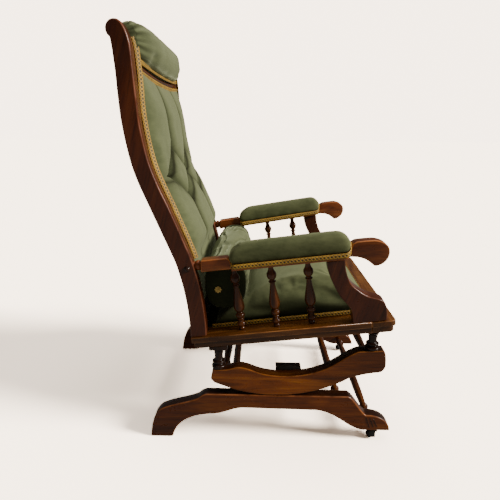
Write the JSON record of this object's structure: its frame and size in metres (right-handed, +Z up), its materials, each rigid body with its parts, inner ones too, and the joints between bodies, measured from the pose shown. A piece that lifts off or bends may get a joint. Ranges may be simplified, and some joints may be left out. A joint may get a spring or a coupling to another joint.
{
  "type": "platform rocking chair",
  "caption": "Upholstered platform rocking chair: padded high back and arms on curved rockers that roll on a fixed base with coil springs and front casters.",
  "frame": {"origin": "on the floor, under the middle of the chair's length and width", "axes": "+X the way the sitter faces, +Y the sitter's left, +Z up"},
  "size_m": [0.7024, 0.6444, 1.0525],
  "materials": {
    "mahogany": "French-polished red mahogany",
    "golden_mahogany": "French-polished, golden where worn",
    "dark_turned_wood": "dark stained, polished turnings",
    "green_velvet": "sage green cotton velvet",
    "gold_gimp": "woven gold gimp braid",
    "black_cambric": "plain dark lining cloth",
    "jute_webbing": "herringbone jute webbing",
    "black_iron": "japanned iron",
    "spring_steel": "dull oiled steel",
    "aged_brass": "aged brass"
  },
  "bodies": {
    "base": {"base_stretcher_front": "dark_turned_wood", "base_stretcher_middle": "dark_turned_wood", "base_stretcher_rear": "dark_turned_wood", "runner_right": "mahogany", "caster_plate_right": "black_iron", "spring_bracket_lower_right": "black_iron", "runner_left": "mahogany", "caster_plate_left": "black_iron", "spring_bracket_lower_left": "black_iron"},
    "carriage": {"arm_pin_right": "dark_turned_wood", "arm_pin_left": "dark_turned_wood"},
    "chair": {"rocker_stretcher_front": "dark_turned_wood", "rocker_stretcher_rear": "dark_turned_wood", "seat_rail_front": "mahogany", "seat_rail_rear": "mahogany", "seat_webbing": "jute_webbing", "back_top_rail": "mahogany", "back_cross_rail": "mahogany", "back_bottom_rail": "mahogany", "back_outside_panel": "black_cambric", "seat_cushion": "green_velvet", "back_pad": "green_velvet", "head_pillow": "green_velvet", "lumbar_bolster": "green_velvet", "rocker_right": "golden_mahogany", "spring_bracket_upper_right": "black_iron", "leg_front_right": "dark_turned_wood", "leg_rear_right": "dark_turned_wood", "seat_rail_right": "mahogany", "back_stile_right": "mahogany", "screw_cover_right": "dark_turned_wood", "arm_rail_right": "mahogany", "arm_pad_right": "green_velvet", "arm_support_right": "mahogany", "spindle_right_1": "dark_turned_wood", "spindle_right_2": "dark_turned_wood", "spindle_right_3": "dark_turned_wood", "rocker_left": "golden_mahogany", "spring_bracket_upper_left": "black_iron", "leg_front_left": "dark_turned_wood", "leg_rear_left": "dark_turned_wood", "seat_rail_left": "mahogany", "back_stile_left": "mahogany", "screw_cover_left": "dark_turned_wood", "arm_rail_left": "mahogany", "arm_pad_left": "green_velvet", "arm_support_left": "mahogany", "spindle_left_1": "dark_turned_wood", "spindle_left_2": "dark_turned_wood", "spindle_left_3": "dark_turned_wood"},
    "springs_right": {"coil_spring_right_rear": "spring_steel", "coil_spring_right_front": "spring_steel"},
    "caster_fork_right": {"caster_horn_right": "black_iron"},
    "caster_roller_right": {"caster_wheel_right": "black_iron"},
    "springs_left": {"coil_spring_left_rear": "spring_steel", "coil_spring_left_front": "spring_steel"},
    "caster_fork_left": {"caster_horn_left": "black_iron"},
    "caster_roller_left": {"caster_wheel_left": "black_iron"}
  },
  "joints": [
    {"name": "roll_travel", "type": "slide", "parent": "base", "child": "carriage", "axis": [1, 0, 0], "range_m": [-0.0816, 0.0683]},
    {"name": "rock", "type": "hinge", "parent": "carriage", "child": "chair", "pos_m": [0.03524, 0, 0.515], "axis": [0, 1, 0], "range_deg": [-12, 10], "stiffness_Nm_per_rad": 220, "springref_deg": 4.49},
    {"name": "spring_bend_right", "type": "hinge", "parent": "base", "child": "springs_right", "pos_m": [0.03524, -0.2525, 0.135], "axis": [0, 1, 0], "range_deg": [-12.5, 10.5], "deforming": ["coil_spring_right_rear", "coil_spring_right_front"]},
    {"name": "caster_swivel_right", "type": "hinge", "parent": "base", "child": "caster_fork_right", "pos_m": [0.31024, -0.2525, 0.03], "axis": [0, 0, 1], "continuous": true},
    {"name": "caster_roll_right", "type": "hinge", "parent": "caster_fork_right", "child": "caster_roller_right", "pos_m": [0.30224, -0.2525, 0.011], "axis": [0, 1, 0], "continuous": true},
    {"name": "spring_bend_left", "type": "hinge", "parent": "base", "child": "springs_left", "pos_m": [0.03524, 0.2525, 0.135], "axis": [0, 1, 0], "range_deg": [-12.5, 10.5], "deforming": ["coil_spring_left_rear", "coil_spring_left_front"]},
    {"name": "caster_swivel_left", "type": "hinge", "parent": "base", "child": "caster_fork_left", "pos_m": [0.31024, 0.2525, 0.03], "axis": [0, 0, 1], "continuous": true},
    {"name": "caster_roll_left", "type": "hinge", "parent": "caster_fork_left", "child": "caster_roller_left", "pos_m": [0.30224, 0.2525, 0.011], "axis": [0, 1, 0], "continuous": true}
  ],
  "couplings": [
    {"joint": "roll_travel", "follows": "rock", "m_per_rad": 0.38},
    {"joint": "spring_bend_right", "follows": "rock", "ratio": 1},
    {"joint": "spring_bend_left", "follows": "rock", "ratio": 1}
  ]
}
